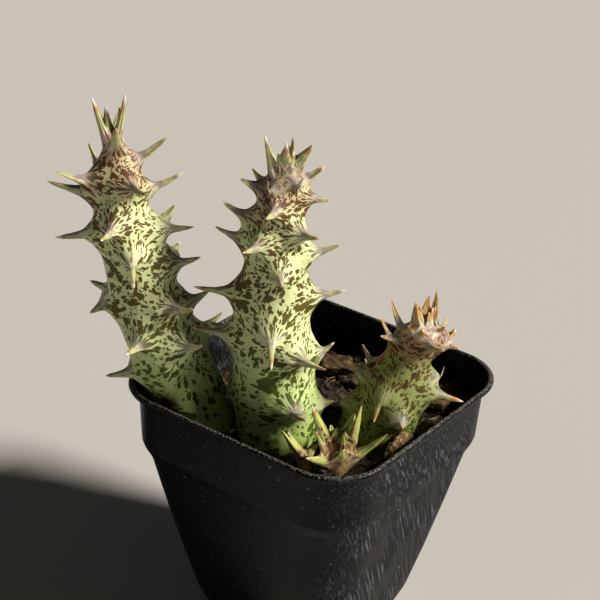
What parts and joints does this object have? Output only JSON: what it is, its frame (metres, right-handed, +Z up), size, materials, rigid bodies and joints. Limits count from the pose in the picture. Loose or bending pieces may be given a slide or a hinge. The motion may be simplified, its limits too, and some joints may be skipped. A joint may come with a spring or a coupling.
{
  "type": "potted stapeliad succulent",
  "caption": "Spotted, thorn-toothed succulent stems and young shoots rooted in soil in a square black nursery pot.",
  "frame": {"origin": "centre of the pot's flat underside, on the surface that it stands on", "axes": "+Z up through the pot's mouth; X and Y along the pot's sides; the young front shoot is towards +X and -Y, and the tall left stem leans towards -X and -Y"},
  "size_m": [0.0816, 0.0793, 0.1363],
  "materials": {
    "black_pot_plastic": "black moulded polypropylene, slightly glossy, dusty and scuffed",
    "potting_soil": "dark brown crumbly potting mix with bits of bark",
    "stem_skin": "pale green waxy succulent skin with brown and olive blotches and dry tan tooth tips",
    "young_shoot_skin": "green and pinkish tan young succulent skin",
    "dried_root": "dry crinkled tan root",
    "bark_chip": "rough brown bark"
  },
  "bodies": {
    "root": {"nursery_pot": "black_pot_plastic", "potting_soil": "potting_soil", "tall_left_stem": "stem_skin", "tall_middle_stem": "stem_skin", "short_right_stem": "stem_skin", "young_front_shoot": "young_shoot_skin", "young_side_shoot": "young_shoot_skin", "dried_root_lump": "dried_root", "pale_wall_chip": "bark_chip", "brown_wall_chip": "bark_chip", "back_bark_chip": "bark_chip", "small_bark_chip": "bark_chip", "front_bark_chip": "bark_chip", "pink_bark_chip": "bark_chip"}
  },
  "joints": []
}
